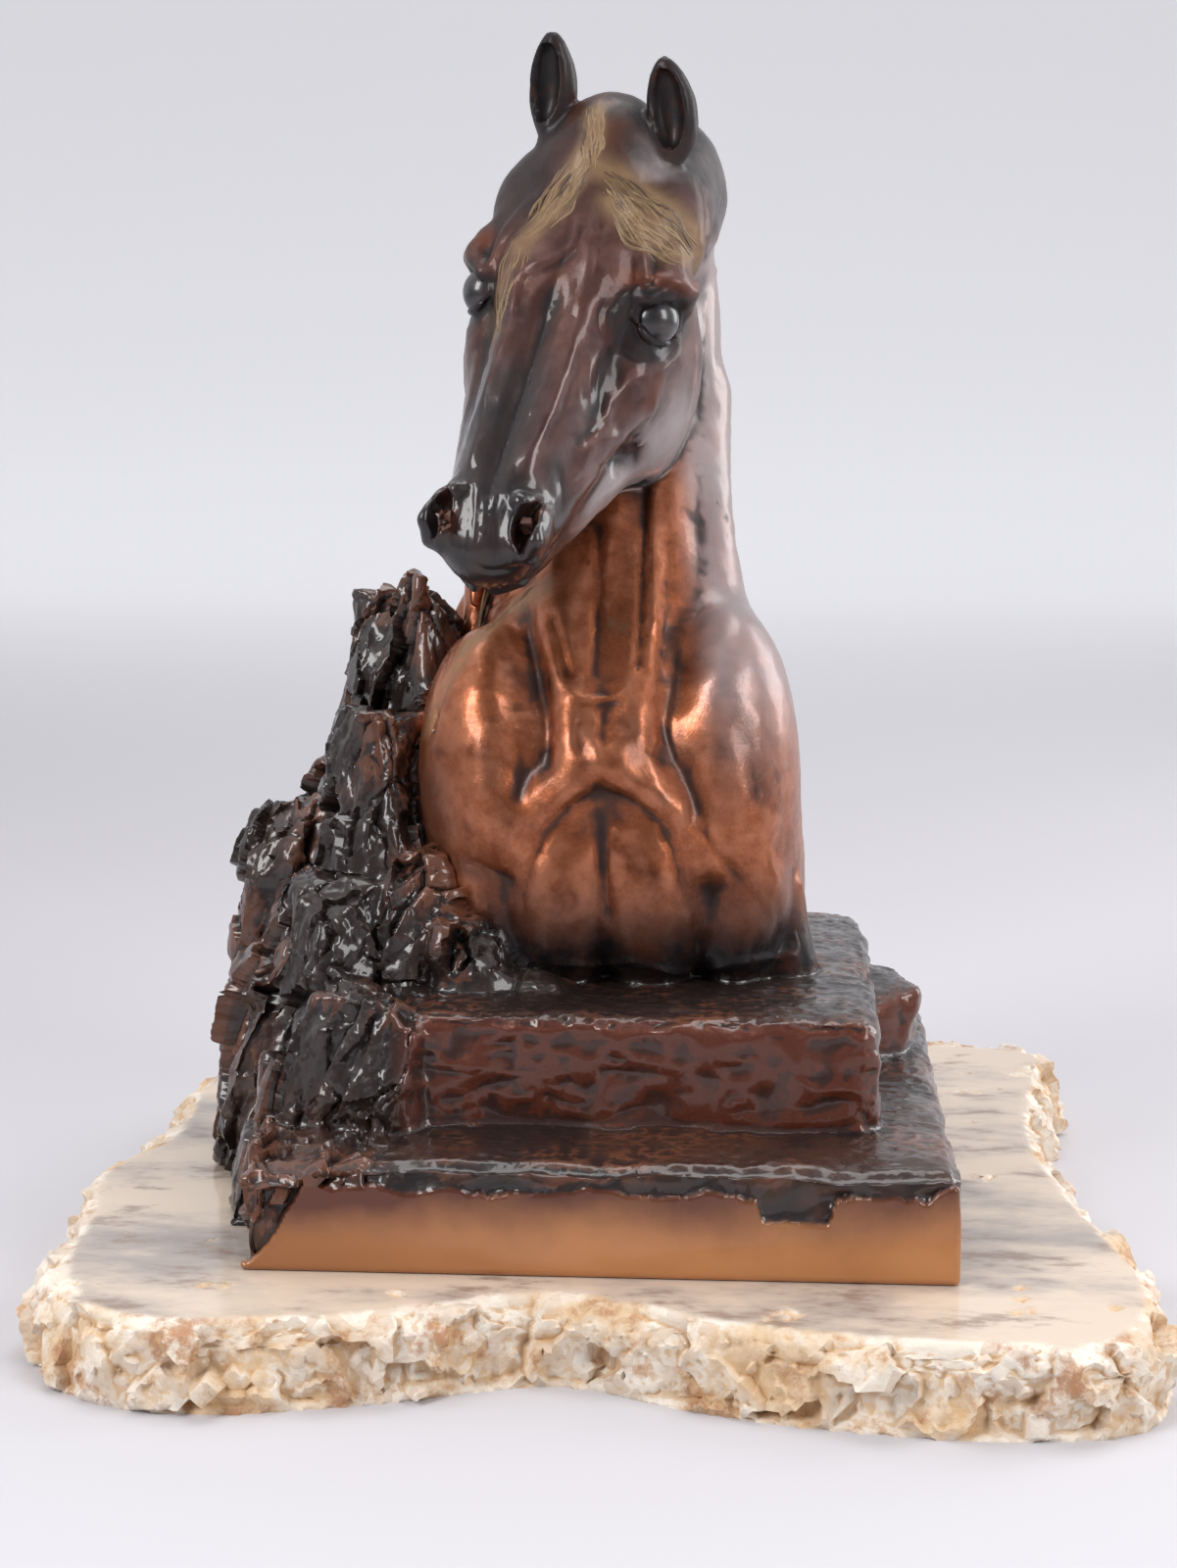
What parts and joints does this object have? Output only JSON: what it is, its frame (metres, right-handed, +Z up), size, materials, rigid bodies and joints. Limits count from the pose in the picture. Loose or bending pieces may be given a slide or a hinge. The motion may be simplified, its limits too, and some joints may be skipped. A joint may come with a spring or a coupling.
{
  "type": "horse bust sculpture",
  "caption": "Bronze head, neck and chest of a horse on stepped rocky ledges, on a slab of polished stone with broken edges.",
  "frame": {"origin": "centre of the slab's footprint, on its underside", "axes": "+Z up, the horse's chest faces -Y, +X to the viewer's right"},
  "size_m": [0.406, 0.39, 0.4633],
  "materials": {
    "bronze": "patinated in brown, red-brown, black and ochre, and lacquered",
    "stone": "polished top, rough broken edges"
  },
  "bodies": {
    "root": {"bronze_casting": "bronze", "stone_slab": "stone"}
  },
  "joints": []
}
